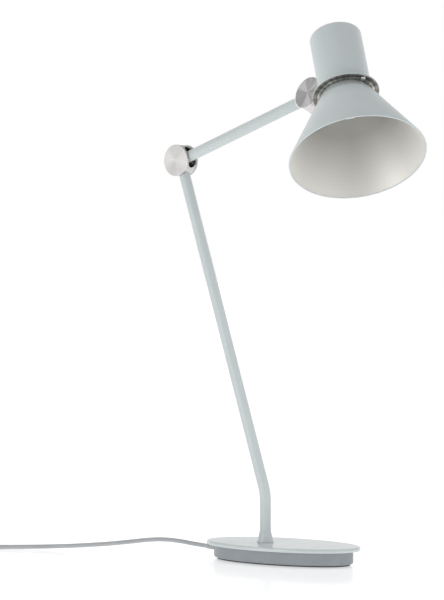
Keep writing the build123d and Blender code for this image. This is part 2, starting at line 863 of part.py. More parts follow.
# Flat two-pin plug, lying on its wide side
plug_start = tail_route[-1]
plug_plane = Plane(origin=plug_start, x_dir=heading.cross(Vector(0, 0, 1)), z_dir=heading)
with BuildPart() as plug_body:
    with BuildSketch(plug_plane):
        RectangleRounded(plug_neck, plug_neck, 3.5)
    with BuildSketch(plug_plane.offset(0.55 * plug_shoulder)):
        RectangleRounded(plug_width / 2, plug_thickness, 5)
    with BuildSketch(plug_plane.offset(plug_shoulder)):
        RectangleRounded(plug_width, plug_thickness, 5)
    loft(ruled=True)
    with BuildSketch(plug_plane.offset(plug_shoulder)):
        RectangleRounded(plug_width, plug_thickness, 5)
    extrude(amount=plug_block)
    plug_end = plug_body.edges().group_by(lambda e: (e.center() - plug_start).dot(heading))[-1]
    fillet(plug_end, radius=1.0)

with BuildPart() as plug_pins:
    with BuildSketch(plug_plane.offset(plug_shoulder + plug_block)):
        with GridLocations(pin_spacing, 1, 2, 1):
            Circle(plug_pin_radius)
    extrude(amount=plug_pin_length)
    tips = plug_pins.edges().group_by(lambda e: (e.center() - plug_start).dot(heading))[-1]
    fillet(tips, radius=1.2)

# ---------------------------------------------------------------- write every piece
pieces = {
    "base_plate": base_plate,
    "base_weight": base_weight,
    "base_screws": base_screws,
    "base_pad": base_pad,
    "swivel_bush": swivel_bush,
    "swivel_washer": swivel_washer,
    "cord_gland": cord_gland,
    "base_lead": base_lead,
    "post": post,
    "post_collar": post_collar,
    "post_nut": post_nut,
    "post_lead": post_lead,
    "elbow_drum": elbow_drum,
    "elbow_cap_front": elbow_cap_front,
    "elbow_cap_back": elbow_cap_back,
    "elbow_pin": elbow_pin,
    "elbow_washers": elbow_washers,
    "upper_arm": upper_arm,
    "arm_eye": arm_eye,
    "arm_bush": arm_bush,
    "arm_lead": arm_lead,
    "head_stem": head_stem,
    "stem_clip": stem_clip,
    "head_drum": head_drum,
    "head_cap_front": head_cap_front,
    "head_cap_back": head_cap_back,
    "head_pin": head_pin,
    "head_washers": head_washers,
    "shade_bracket": shade_bracket,
    "bracket_rivets": bracket_rivets,
    "shade_cap": shade_cap,
    "shade_ring": shade_ring,
    "shade_cone": shade_cone,
    "ring_screws": ring_screws,
    "cone_rivets": cone_rivets,
    "holder_clamp": holder_clamp,
    "lamp_holder": lamp_holder,
    "bulb_base": bulb_base,
    "bulb_glass": bulb_glass,
    "switch_body": switch_body,
    "switch_button": switch_button,
    "switch_spring": switch_spring,
    "cord": cord,
    "cord_coil": cord_coil,
    "cord_tail": cord_tail,
    "coil_tie": coil_tie,
    "plug_body": plug_body,
    "plug_pins": plug_pins,
}
for name, piece in pieces.items():
    save(piece, name)
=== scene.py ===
import json
from math import atan2, cos, pi, radians, sin, tan

import bmesh
import bpy
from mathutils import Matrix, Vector


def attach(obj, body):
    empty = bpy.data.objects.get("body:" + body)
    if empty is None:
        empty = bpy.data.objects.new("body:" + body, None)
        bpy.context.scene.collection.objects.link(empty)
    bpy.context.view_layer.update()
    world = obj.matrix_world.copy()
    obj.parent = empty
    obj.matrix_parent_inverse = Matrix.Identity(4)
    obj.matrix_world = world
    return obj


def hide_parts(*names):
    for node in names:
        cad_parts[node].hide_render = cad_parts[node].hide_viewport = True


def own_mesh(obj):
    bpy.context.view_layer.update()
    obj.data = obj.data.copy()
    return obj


# Looks for the architect desk lamp. Metres, in the frame of the CAD model: +Z up, the origin on
# the post's swivel axis at floor level, the arm and the post in the XZ plane.

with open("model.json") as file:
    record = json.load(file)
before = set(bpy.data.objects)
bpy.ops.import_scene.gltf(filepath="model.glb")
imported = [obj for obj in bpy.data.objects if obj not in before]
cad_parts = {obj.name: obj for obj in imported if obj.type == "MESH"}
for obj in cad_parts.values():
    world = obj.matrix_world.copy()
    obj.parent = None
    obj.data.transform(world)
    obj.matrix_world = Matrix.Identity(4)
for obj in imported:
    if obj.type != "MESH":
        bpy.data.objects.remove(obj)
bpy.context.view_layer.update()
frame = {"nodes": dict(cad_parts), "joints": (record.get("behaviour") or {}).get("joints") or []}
nodes = frame["nodes"]
joints = {joint["name"]: joint for joint in frame["joints"]}

elbow = Vector(joints["elbow_hinge"]["pos_m"])
elbow_axis = Vector(joints["elbow_hinge"]["axis"])
head = Vector(joints["head_roll"]["pos_m"])
tilt_axis = Vector(joints["head_tilt"]["axis"])
shade_dir = Vector(joints["switch_press"]["axis"])
side_dir = tilt_axis.cross(shade_dir)

# The shade's rim lies beside and below the head's pin
knuckle_to_axis = 0.0482
knuckle_above_rim = 0.0287
rim = head + side_dir * knuckle_to_axis + shade_dir * knuckle_above_rim

# ---------------------------------------------------------------- camera
camera_place = Vector((1.84489, -2.20512, 0.39567))
camera_forward = Vector((-0.65568, 0.75461, -0.02539))
camera_data = bpy.data.cameras.new("camera")
camera_data.lens = 139.63
camera_data.sensor_width = 36
camera_data.clip_start = 0.05
camera_data.clip_end = 100
camera = bpy.data.objects.new("camera", camera_data)
camera.location = camera_place
camera.rotation_mode = "QUATERNION"
camera.rotation_quaternion = camera_forward.to_track_quat("-Z", "Y")
bpy.context.scene.collection.objects.link(camera)
bpy.context.scene.camera = camera
bpy.context.scene.view_settings.view_transform = "Standard"


# ---------------------------------------------------------------- mesh helpers
def plain_object(name, mesh):
    """An object for a mesh, linked to the scene."""
    piece = bpy.data.objects.new(name, mesh)
    bpy.context.scene.collection.objects.link(piece)
    return piece


def surface(name, shells, closed=False):
    """Smooth surfaces through equal rings of points.

    Each shell is a list of rings: a closed loop of rings, or one that ends in flat faces."""
    points = []
    faces = []
    for rings in shells:
        count = len(rings[0])
        first = len(points)
        for ring in rings:
            points.extend(ring)
        for step in range(len(rings) if closed else len(rings) - 1):
            here = first + step * count
            there = first + (step + 1) % len(rings) * count
            for k in range(count):
                n = (k + 1) % count
                faces.append((here + k, here + n, there + n, there + k))
        if not closed:
            faces.append(tuple(range(first + count - 1, first - 1, -1)))
            faces.append(tuple(range(len(points) - count, len(points))))
    mesh = bpy.data.meshes.new(name)
    mesh.from_pydata(points, [], faces)
    for face in mesh.polygons:
        face.use_smooth = True
    outward = bmesh.new()
    outward.from_mesh(mesh)
    bmesh.ops.recalc_face_normals(outward, faces=outward.faces)
    outward.to_mesh(mesh)
    outward.free()
    mesh.set_sharp_from_angle(angle=radians(40))
    return plain_object(name, mesh)


def spun(name, profile, centre, axis, start, segments=192, inside_from=None):
    """A closed half section, given as radius and depth, turned round an axis.

    Faces from the profile point inside_from onwards take the second material."""
    third = axis.cross(start)
    rings = []
    for step in range(segments):
        angle = 2 * pi * step / segments
        outward = start * cos(angle) + third * sin(angle)
        rings.append([centre + outward * radius + axis * depth for radius, depth in profile])
    piece = surface(name, [rings], closed=True)
    if inside_from is not None:
        for face in piece.data.polygons:
            if face.index % len(profile) >= inside_from:
                face.material_index = 1
    return piece


def arc(centre_radius, centre_depth, size, start, end, steps):
    """Points of an arc in a half section, from one angle to another, in degrees."""
    points = []
    for step in range(steps + 1):
        angle = radians(start + (end - start) * step / steps)
        points.append((centre_radius + size * cos(angle), centre_depth + size * sin(angle)))
    return points


def rounded_outline(width, height, corner, steps=6):
    """Points of a rectangle with round corners about its own middle."""
    points = []
    for quarter, (right, up) in enumerate(((1, 1), (-1, 1), (-1, -1), (1, -1))):
        middle = (right * (width / 2 - corner), up * (height / 2 - corner))
        points += arc(*middle, corner, 90 * quarter, 90 * quarter + 90, steps)
    return points


# ---------------------------------------------------------------- the lead
cord_diameter = 0.0055
cord_radius = cord_diameter / 2
outer_turn = 0.034
inner_turn = outer_turn - cord_diameter
coil_centre = Vector((-0.384, -0.152, 0))
coil_start = radians(-46)
cord_exit = Vector((-0.08680, -0.01035, 0.0115))
free_points = [
    cord_exit,
    Vector((-0.106, -0.0125, 0.0125)),
    Vector((-0.123, -0.018, 0.015)),
    Vector((-0.141, -0.028, 0.017)),
    Vector((-0.158, -0.040, 0.0165)),
    Vector((-0.180, -0.055, 0.013)),
    Vector((-0.207, -0.071, 0.0095)),
    Vector((-0.238, -0.087, 0.0065)),
    Vector((-0.270, -0.1035, 0.0042)),
    Vector((-0.301, -0.1225, 0.003)),
    Vector((-0.329, -0.146, 0.0028)),
]

# Where each turn lies: its radius and its layer. Each step to the next place, in degrees of winding,
# is taken a little earlier than the step under it, so that no turn runs through another.
places = [
    (outer_turn, 0), (inner_turn, 0), (inner_turn, 1), (outer_turn, 1),
    (outer_turn, 2), (inner_turn, 2), (inner_turn, 3), (outer_turn, 3),
]
turns = 7
points_per_turn = 20
first_step = 330.0
step_every = 310.0
step_length = 40.0
layers = 4
coil_height = layers * cord_diameter
tie_angle = radians(150)
tie_wall = 0.0008
tie_width = 0.008
tie_reach = 0.6


def ease(value):
    """A smooth step from 0 to 1."""
    value = min(1.0, max(0.0, value))
    return value * value * (3 - 2 * value)


def coil_point(travel):
    """The point on the coil after so many degrees, clockwise from where the lead enters it."""
    radius, layer = places[0]
    for step, (next_radius, next_layer) in enumerate(places[1:]):
        part = ease((travel - first_step - step * step_every) / step_length + 0.5)
        radius += (next_radius - radius) * part
        layer += (next_layer - layer) * part
    angle = coil_start - radians(travel)
    height = cord_radius + layer * cord_diameter
    # The tie squeezes the turns together a little, so that its own wall fits round them
    off_tie = abs(atan2(sin(angle - tie_angle), cos(angle - tie_angle)))
    squeeze = 1 - ease(off_tie / tie_reach)
    squeezed = cord_radius + tie_wall + layer * (cord_diameter - 2 * tie_wall / (layers - 1))
    height += (squeezed - height) * squeeze
    return coil_centre + Vector((radius * cos(angle), radius * sin(angle), height))


coil_points = [
    coil_point(360 * step / points_per_turn) for step in range(turns * points_per_turn + 1)
]

# The last stretch leaves the top of the coil and comes down to the plug, which lies flat
heading = Vector((sin(coil_start), -cos(coil_start), 0))
tail_start = coil_points[-1]
plug_height = 0.0069
tail_drop = plug_height - tail_start.z
tail_points = [
    tail_start + heading * reach + Vector((0, 0, lift))
    for reach, lift in ((0.020, 0), (0.038, -0.0045), (0.056, tail_drop + 0.0012), (0.074, tail_drop))
]
cord_points = free_points + coil_points + tail_points


def cord_curve(name, points, radius):
    """A round lead along one open NURBS spline."""
    curve = bpy.data.curves.new(name, "CURVE")
    curve.dimensions = "3D"
    curve.bevel_depth = radius
    curve.bevel_resolution = 6
    curve.use_fill_caps = True
    spline = curve.splines.new("NURBS")
    spline.points.add(len(points) - 1)
    for point, place in zip(spline.points, points):
        point.co = (*place, 1)
    spline.order_u = 3
    spline.use_endpoint_u = True
    spline.resolution_u = 8
    piece = bpy.data.objects.new(name, curve)
    bpy.context.scene.collection.objects.link(piece)
    return piece


lead = cord_curve("mains_lead", cord_points, cord_radius)

# Strain relief: a round body in the weight's wall and a ribbed, tapered sleeve outside
sleeve_length = 0.020
sleeve_radius = 0.0044
sleeve_tip_radius = 0.00325
gland_length = 0.015
gland_radius = 0.005
rib_count = 6
rib_first = 0.002
rib_pitch = 0.0027
rib_depth = 0.00055
tip_round = 0.0004
outlet_dir = Vector((cord_exit.x, cord_exit.y, 0)).normalized()
gland_profile = [(cord_radius, -gland_length), (gland_radius, -gland_length), (gland_radius, 0)]
for rib in range(rib_count):
    rib_start = rib_first + rib_pitch * rib
    for step, cut in ((0.0, 0), (0.0003, 1), (0.0009, 1), (0.0012, 0)):
        along = rib_start + step
        taper = sleeve_radius + (sleeve_tip_radius - sleeve_radius) * along / sleeve_length
        gland_profile.append((taper - cut * rib_depth, along))
gland_profile += [
    (sleeve_tip_radius, sleeve_length - tip_round), (sleeve_tip_radius - tip_round, sleeve_length),
    (cord_radius, sleeve_length),
]
gland_start = cord_exit - outlet_dir * sleeve_length
gland = spun("lead_sleeve", gland_profile, gland_start, outlet_dir, Vector((0, 0, 1)), 64)
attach(gland, "base")
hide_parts("cord_gland")

# Strap round the turns, with its end lapped over on the outside
strap_wide = 2 * cord_diameter + tie_wall
strap_high = coil_height - tie_wall
strap_corner = 0.0022
lap_points = 10
lap_rise = 4
lap_lift = 0.0010
tie_out = Vector((cos(tie_angle), sin(tie_angle), 0))
tie_along = Vector((-sin(tie_angle), cos(tie_angle), 0))
tie_middle = coil_centre + tie_out * (inner_turn + cord_radius) + Vector((0, 0, coil_height / 2))
strap_outline = rounded_outline(strap_wide, strap_high, strap_corner)
strap_line = [(across, up, 0.0) for across, up in strap_outline]
for k, (across, up) in enumerate(strap_outline[:lap_points]):
    strap_line.append((across, up, ease(k / lap_rise) * lap_lift))
strap_rings = []
for across, up, lift in strap_line:
    outward = (tie_out * across / strap_wide + Vector((0, 0, up / strap_high))).normalized()
    middle = tie_middle + tie_out * across + Vector((0, 0, up)) + outward * lift
    half = outward * tie_wall / 2
    side = tie_along * tie_width / 2
    strap_rings.append([
        middle - half - side, middle + half - side, middle + half + side, middle - half + side,
    ])
strap = surface("tie_strap", [strap_rings])
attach(strap, "base")
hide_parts("coil_tie")

# Flat plug: a ribbed neck, round shoulders and two grip grooves round its block. Each station is
# its distance along the plug, its width, its height and the radius of its corners.
plug_width = 0.0330
plug_thickness = 0.0137
plug_corner = 0.0050
rib_size = 0.0086
rib_gap_size = 0.0074
plug_stations = [(0.0, 0.0072, 0.0072, 0.0034)]
for rib in range(3):
    rib_start = 0.0008 + 0.0026 * rib
    for step, size in (
        (0.0, rib_size), (0.0010, rib_size), (0.0013, rib_gap_size), (0.0021, rib_gap_size),
    ):
        plug_stations.append((rib_start + step, size, size, 0.48 * size))
plug_stations += [
    (0.0090, 0.0092, 0.0088, 0.0040), (0.0120, 0.0150, 0.0120, 0.0045),
    (0.0160, 0.0232, 0.0132, 0.0048), (0.0195, 0.0298, plug_thickness, plug_corner),
    (0.0220, plug_width, plug_thickness, plug_corner),
]
for groove_start in (0.0240, 0.0275):
    for step, cut in ((0.0, 0), (0.0004, 0.0010), (0.0012, 0.0010), (0.0016, 0)):
        plug_stations.append(
            (groove_start + step, plug_width - cut, plug_thickness - cut, plug_corner - cut / 2)
        )
plug_stations += [
    (0.0340, plug_width, plug_thickness, plug_corner), (0.0347, 0.0326, 0.0133, 0.0048),
    (0.0350, 0.0312, 0.0120, 0.0042),
]
plug_start = cord_points[-1]
plug_across = heading.cross(Vector((0, 0, 1)))
plug_rings = []
for along, width, height, corner in plug_stations:
    middle = plug_start + heading * along
    outline = rounded_outline(width, height, corner)
    plug_rings.append([middle + plug_across * x + Vector((0, 0, y)) for x, y in outline])
plug = surface("plug_shell", [plug_rings])
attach(plug, "base")
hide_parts("plug_body")

# ---------------------------------------------------------------- floor and light
floor_reach = 14
floor_mesh = bpy.data.meshes.new("floor")
floor_mesh.from_pydata(
    [(-floor_reach, -floor_reach, 0), (floor_reach, -floor_reach, 0),
     (floor_reach, floor_reach, 0), (-floor_reach, floor_reach, 0)],
    [], [(0, 1, 2, 3)],
)
floor = plain_object("floor", floor_mesh)


def softbox(name, place, aim, size, power, spread=180, glossy=True):
    """A square area light that faces a point; spread is its beam in degrees.

    Without glossy it lights surfaces but doesn't show in their reflections."""
    light = bpy.data.lights.new(name, "AREA")
    light.size = size
    light.energy = power
    light.spread = radians(spread)
    lamp = bpy.data.objects.new(name, light)
    lamp.location = place
    lamp.visible_glossy = glossy
    lamp.rotation_mode = "QUATERNION"
    lamp.rotation_quaternion = (Vector(aim) - Vector(place)).to_track_quat("-Z", "Y")
    bpy.context.scene.collection.objects.link(lamp)


softbox("overhead", (-0.3, 0.3, 2.4), (0, 0, 0.3), size=0.5, power=11, glossy=False)
softbox("front_left", (-0.5, -2.6, 0.5), (0, 0, 0.35), size=1.4, power=13)

# Two weak lights reach the lower half of the post from both sides
post_low = (-0.05, 0, 0.17)
softbox("low_left", (0, -1.0, 0.15), post_low, size=0.4, power=0.10, spread=75, glossy=False)
softbox("low_right", (1.05, -0.15, 0.15), post_low, size=0.4, power=0.50, spread=75, glossy=False)

# A white studio: darker overhead and in one upright strip in front of the lamp
strip_direction = Vector((0.656, -0.755, 0))
world = bpy.data.worlds.new("studio")
bpy.context.scene.world = world
world.use_nodes = True
sky = world.node_tree
sky_direction = sky.nodes.new("ShaderNodeTexCoord").outputs["Generated"]


def sky_vector(operation, value, other, output="Vector"):
    """One step of vector arithmetic in the sky."""
    node = sky.nodes.new("ShaderNodeVectorMath")
    node.operation = operation
    sky.links.new(value, node.inputs[0])
    node.inputs[1].default_value = other
    return node.outputs[output]


def sky_dimming(direction, towards, start, end, dimmed):
    """1 away from a direction, falling to a lower value as the cosine to it goes from start to end."""
    ramp = sky.nodes.new("ShaderNodeMapRange")
    ramp.interpolation_type = "SMOOTHSTEP"
    ramp.inputs["From Min"].default_value = start
    ramp.inputs["From Max"].default_value = end
    ramp.inputs["To Min"].default_value = 1.0
    ramp.inputs["To Max"].default_value = dimmed
    sky.links.new(sky_vector("DOT_PRODUCT", direction, towards, "Value"), ramp.inputs["Value"])
    return ramp.outputs["Result"]


level_direction = sky_vector("MULTIPLY", sky_direction, (1, 1, 0))
level_direction = sky_vector("NORMALIZE", level_direction, (0, 0, 0))
strip_dimming = sky_dimming(level_direction, strip_direction, start=0.80, end=0.98, dimmed=0.15)
top_dimming = sky_dimming(sky_direction, (0, 0, 1), start=0.1, end=0.7, dimmed=0.5)
dimming = sky.nodes.new("ShaderNodeMath")
dimming.operation = "MULTIPLY"
sky.links.new(strip_dimming, dimming.inputs[0])
sky.links.new(top_dimming, dimming.inputs[1])
background = sky.nodes["Background"]
background.inputs["Color"].default_value = (1, 1, 1, 1)
sky.links.new(dimming.outputs["Value"], background.inputs["Strength"])


# ---------------------------------------------------------------- materials
class Look:
    """One material: a Principled shader with noises, colour changes and bumps in object space.

    Scales are in features per metre, and the distances of bumps in metres."""

    def __init__(self, name, color, roughness, metallic=0.0):
        self.material = bpy.data.materials.new(name)
        self.material.use_nodes = True
        self.tree = self.material.node_tree
        self.shader = self.tree.nodes["Principled BSDF"]
        self.color = color
        self.set("Base Color", (*color, 1))
        self.set("Roughness", roughness)
        self.set("Metallic", metallic)
        self.place = self.tree.nodes.new("ShaderNodeTexCoord").outputs["Object"]
        self.last_bump = None

    def set(self, socket, value):
        """A shader input that is the same all over."""
        self.shader.inputs[socket].default_value = value

    def put(self, value, socket):
        """A link, or a plain value, into a node's input."""
        if isinstance(value, bpy.types.NodeSocket):
            self.tree.links.new(value, socket)
        else:
            socket.default_value = value

    def math(self, operation, first, second=0.0):
        node = self.tree.nodes.new("ShaderNodeMath")
        node.operation = operation
        self.put(first, node.inputs[0])
        self.put(second, node.inputs[1])
        return node.outputs["Value"]

    def vector(self, operation, first, second=(0, 0, 0), output="Vector"):
        node = self.tree.nodes.new("ShaderNodeVectorMath")
        node.operation = operation
        self.put(first, node.inputs[0])
        if operation == "SCALE":
            self.put(second, node.inputs["Scale"])
        else:
            self.put(second, node.inputs[1])
        return node.outputs[output]

    def noise(self, scale, detail=2.0, place=None):
        """Cloudy noise, in object space unless another place is given."""
        node = self.tree.nodes.new("ShaderNodeTexNoise")
        node.inputs["Scale"].default_value = scale
        node.inputs["Detail"].default_value = detail
        self.put(self.place if place is None else place, node.inputs["Vector"])
        return node.outputs["Fac"]

    def lines(self, value, scale, detail=3.0):
        """Noise that changes along one measured value only, such as a radius."""
        node = self.tree.nodes.new("ShaderNodeTexNoise")
        node.noise_dimensions = "1D"
        node.inputs["Scale"].default_value = scale
        node.inputs["Detail"].default_value = detail
        self.put(value, node.inputs["W"])
        return node.outputs["Fac"]

    def spread(self, value, low, high, start=0.3, end=0.7):
        """Stretches a noise onto the range from low to high."""
        node = self.tree.nodes.new("ShaderNodeMapRange")
        self.put(value, node.inputs["Value"])
        node.inputs["From Min"].default_value = start
        node.inputs["From Max"].default_value = end
        node.inputs["To Min"].default_value = low
        node.inputs["To Max"].default_value = high
        return node.outputs["Result"]

    def rough(self, value, low, high):
        """Roughness that changes with a noise."""
        self.put(self.spread(value, low, high), self.shader.inputs["Roughness"])

    def tint(self, value, ratio, start=0.35, end=0.65):
        """Base colour, times a ratio that comes in as the value goes from start to end."""
        base = self.shader.inputs["Base Color"]
        before = base.links[0].from_socket if base.links else self.color
        strength = self.spread(value, 1.0, ratio, start, end)
        self.put(self.vector("SCALE", before, strength), base)

    def bump(self, height, distance, strength=1.0):
        """Relief from a noise, laid over the relief that is there already."""
        node = self.tree.nodes.new("ShaderNodeBump")
        node.inputs["Distance"].default_value = distance
        node.inputs["Strength"].default_value = strength
        self.put(height, node.inputs["Height"])
        if self.last_bump is not None:
            self.put(self.last_bump, node.inputs["Normal"])
        self.last_bump = node.outputs["Normal"]
        self.put(self.last_bump, self.shader.inputs["Normal"])

    def about(self, centre, axis):
        """Distance along an axis, radius from it and the way outward, in object space."""
        offset = self.vector("SUBTRACT", self.place, tuple(centre))
        along = self.vector("DOT_PRODUCT", offset, tuple(axis), "Value")
        flat = self.vector("SUBTRACT", offset, self.vector("SCALE", tuple(axis), along))
        return along, self.vector("LENGTH", flat, output="Value"), flat

    def grooved(self, direction, amount):
        """Stretched highlights across fine grooves; direction is in object space."""
        self.set("Anisotropic", amount)
        node = self.tree.nodes.new("ShaderNodeVectorTransform")
        node.vector_type = "VECTOR"
        node.convert_from = "OBJECT"
        node.convert_to = "WORLD"
        self.put(direction, node.inputs[0])
        self.put(node.outputs[0], self.shader.inputs["Tangent"])


def painted(name, color, roughness=0.34):
    """Satin powder coat: faint orange peel, slow changes of tone and gloss."""
    look = Look(name, color, roughness)
    look.set("IOR", 1.5)
    look.rough(look.noise(45, 4), roughness - 0.04, roughness + 0.05)
    look.tint(look.noise(18, 3), 0.965)
    look.tint(look.noise(900, 2), 1.03, 0.55, 0.8)
    look.bump(look.noise(620, 3), 0.00002, 0.7)
    look.bump(look.noise(2400, 1), 0.000004, 0.6)
    return look.material


def cast_paint(name, color):
    """Thicker satin paint over a casting."""
    look = Look(name, color, 0.42)
    look.rough(look.noise(60, 4), 0.38, 0.50)
    look.tint(look.noise(30, 4), 0.90)
    look.tint(look.noise(1400, 2), 1.12, 0.5, 0.8)
    look.bump(look.noise(380, 4), 0.00005, 0.8)
    look.bump(look.noise(2000, 2), 0.00001, 0.6)
    return look.material


def turned_metal(name, color, centre, axis, roughness=0.3, stretch=0.6, reflection_fans=0.9):
    """A turned face or rim: fine rings about an axis, and darker fans spreading from it, a painted
    reflection of the radial streaks turned metal shows.
    """
    look = Look(name, color, roughness, 1.0)
    along, radius, outward = look.about(centre, axis)
    way_out = look.vector("NORMALIZE", outward)
    rings = look.lines(look.math("ADD", radius, along), 2600, 4)
    wide_rings = look.lines(look.math("ADD", radius, along), 420, 2)
    look.grooved(way_out, stretch)
    look.rough(rings, roughness - 0.05, roughness + 0.08)
    # Painted reflection: darker fans spread out from the axis, standing in for the radial streaks that
    # light draws on turned metal
    look.tint(look.noise(0.9, 2, way_out), reflection_fans, 0.42, 0.60)
    look.tint(rings, 0.86)
    look.tint(wide_rings, 0.93)
    look.tint(look.noise(70, 4), 0.95)
    look.bump(rings, 0.000012, 0.5)
    return look.material


def banded_steel(name, color, reflection_dark, centre, axis, edge, roughness):
    """The ring under the rim: a pale inner band, and beyond an edge radius a darker band; the dark band
    and the dark streaks across the ring are painted reflection.
    """
    look = Look(name, color, roughness, 1.0)
    _, radius, outward = look.about(centre, axis)
    way_out = look.vector("NORMALIZE", outward)
    reflection_streaks = look.noise(7, 5, way_out)
    rings = look.lines(radius, 1800, 3)
    look.grooved(way_out, 0.3)
    look.rough(rings, roughness - 0.06, roughness + 0.08)
    # Painted reflection: dark streaks fanning out from the axis, as a polished ring reflects
    look.tint(reflection_streaks, 0.55, 0.42, 0.58)
    look.tint(rings, 0.90)
    # Painted reflection: the band beyond the edge radius is darkened, as the dark under the rim shows
    # in it
    edge_blur = 0.0002
    look.tint(radius, reflection_dark, edge - edge_blur, edge + edge_blur)
    look.bump(rings, 0.000015, 0.5)
    return look.material


def plated(name, color, roughness):
    """Bright or dull plating with faint smears and scratches."""
    look = Look(name, color, roughness, 1.0)
    scratch_place = look.vector("MULTIPLY", look.place, (1.0, 9.0, 2.5))
    look.rough(look.noise(120, 5), roughness * 0.75, roughness * 1.4)
    look.tint(look.noise(90, 4), 0.85)
    look.bump(look.noise(520, 5, scratch_place), 0.000006, 0.5)
    return look.material


def plastic(name, color, roughness, grain=1300):
    """Moulded plastic: a fine spark-eroded grain."""
    look = Look(name, color, roughness)
    look.rough(look.noise(80, 3), roughness - 0.05, roughness + 0.07)
    look.tint(look.noise(40, 3), 0.93)
    look.bump(look.noise(grain, 3), 0.000015, 0.6)
    return look.material


def sheathing(name, color):
    """Soft PVC: slightly waxy, with slow marks from handling."""
    look = Look(name, color, 0.42)
    look.rough(look.noise(60, 4), 0.34, 0.52)
    look.tint(look.noise(22, 4), 0.9)
    look.tint(look.noise(700, 3), 1.07, 0.5, 0.75)
    look.bump(look.noise(350, 3), 0.00003, 0.5)
    look.set("Subsurface Weight", 0.05)
    look.set("Subsurface Radius", (0.002, 0.002, 0.002))
    return look.material


def woven(name, color):
    """Hook and loop strap: small loops in rows."""
    look = Look(name, color, 0.85)
    look.tint(look.noise(1500, 2), 2.4, 0.5, 0.7)
    look.bump(look.noise(1500, 2), 0.0002, 0.9)
    look.bump(look.noise(500, 2), 0.0002, 0.5)
    look.set("Sheen Weight", 0.4)
    return look.material


def rubber(name, color):
    """Matt rubber with a fine tooth."""
    look = Look(name, color, 0.75)
    look.rough(look.noise(200, 3), 0.65, 0.85)
    look.tint(look.noise(300, 3), 1.6)
    look.bump(look.noise(1600, 3), 0.00004, 0.8)
    return look.material


def opal(name, color):
    """Opal glass: white, softly glossy and a little see-through."""
    look = Look(name, color, 0.28)
    look.tint(look.noise(60, 3), 0.97)
    look.rough(look.noise(150, 3), 0.24, 0.34)
    look.set("Subsurface Weight", 0.4)
    look.set("Subsurface Radius", (0.006, 0.006, 0.005))
    return look.material


def satin_silver(name, color, centre, axis, dimmest, brightest):
    """The inside of the shade: satin silver over a spun sheet, with painted shade that halves its
    brightness at the narrow end.

    The last two are depths from the rim, towards the mouth: where the painted shade is darkest and
    where it is gone."""
    look = Look(name, color, 0.55, 0.5)
    along, _, outward = look.about(centre, axis)
    rings = look.lines(along, 900, 4)
    look.grooved(look.vector("NORMALIZE", outward), 0.3)
    look.rough(rings, 0.50, 0.58)
    look.tint(rings, 0.97)
    look.tint(look.noise(1800, 2), 1.04, 0.5, 0.8)
    # Painted shade: the colour falls to half towards the narrow end of the shade, where less light
    # reaches
    look.tint(along, 0.50, brightest, dimmest)
    look.bump(look.noise(1500, 2), 0.00001, 0.5)
    look.bump(rings, 0.000008, 0.5)
    return look.material


paint_color = (0.60, 0.655, 0.66)
weight_color = (0.30, 0.325, 0.345)
elbow_color = (0.77, 0.76, 0.745)
head_color = (0.80, 0.775, 0.78)
ring_color = (0.64, 0.62, 0.57)

paint = painted("paint", paint_color)
plate_paint = painted("plate_paint", paint_color, 0.17)
weight_paint = cast_paint("weight_paint", weight_color)
zinc = plated("zinc_steel", (0.55, 0.55, 0.56), 0.35)
chrome = plated("chrome_steel", (0.86, 0.86, 0.87), 0.10)
nickel_brass = plated("nickel_brass", (0.78, 0.74, 0.64), 0.22)
pad = rubber("pad_rubber", (0.035, 0.036, 0.038))
nylon = plastic("nylon", (0.88, 0.88, 0.86), 0.38)
pvc = sheathing("lead_grey", (0.46, 0.475, 0.49))
tie_fabric = woven("tie_black", (0.02, 0.02, 0.022))
holder_plastic = plastic("holder_plastic", (0.80, 0.79, 0.76), 0.35)
button_plastic = plastic("button_plastic", (0.62, 0.66, 0.66), 0.25)
glass = opal("opal_glass", (0.92, 0.92, 0.90))
elbow_nickel = turned_metal("elbow_nickel", elbow_color, elbow, elbow_axis)
# The head's copy has deeper painted reflection fans than the elbow's, so its discs look darker
head_nickel = turned_metal(
    "head_nickel", head_color, head, tilt_axis, roughness=0.26, stretch=0.7, reflection_fans=0.58,
)
ring_steel = banded_steel(
    "ring_steel", ring_color, 0.50, rim, shade_dir, edge=0.0352, roughness=0.24,
)
silver = satin_silver(
    "satin_silver", (0.80, 0.79, 0.75), rim, shade_dir, dimmest=0.030, brightest=0.090,
)

# What each CAD node wears
worn = {
    "base_plate": plate_paint, "base_weight": weight_paint, "base_screws": zinc, "base_pad": pad,
    "swivel_bush": nylon, "swivel_washer": zinc, "cord_gland": pvc, "base_lead": pvc,
    "cord": pvc, "cord_coil": pvc, "cord_tail": pvc, "coil_tie": tie_fabric,
    "plug_body": pvc, "plug_pins": nickel_brass,
    "post": paint, "post_collar": paint, "post_nut": zinc, "post_lead": pvc,
    "elbow_drum": elbow_nickel, "elbow_cap_front": elbow_nickel, "elbow_cap_back": elbow_nickel,
    "elbow_pin": zinc, "elbow_washers": nylon,
    "upper_arm": paint, "arm_eye": zinc, "arm_bush": nylon, "arm_lead": pvc,
    "head_stem": chrome, "stem_clip": zinc, "head_drum": head_nickel, "head_cap_front": head_nickel,
    "head_cap_back": head_nickel, "head_pin": zinc, "head_washers": nylon,
    "shade_bracket": zinc, "bracket_rivets": zinc, "shade_cap": paint, "shade_ring": ring_steel,
    "shade_cone": paint, "ring_screws": chrome, "cone_rivets": zinc, "holder_clamp": zinc,
    "lamp_holder": holder_plastic, "bulb_base": nickel_brass, "bulb_glass": glass,
    "switch_body": holder_plastic, "switch_button": button_plastic, "switch_spring": zinc,
}
for name, material in worn.items():
    nodes[name].data.materials.clear()
    nodes[name].data.materials.append(material)
for piece, material in ((lead, pvc), (gland, pvc), (plug, pvc), (strap, tie_fabric)):
    piece.data.materials.append(material)

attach(lead, "base")
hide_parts("cord", "cord_coil", "cord_tail")

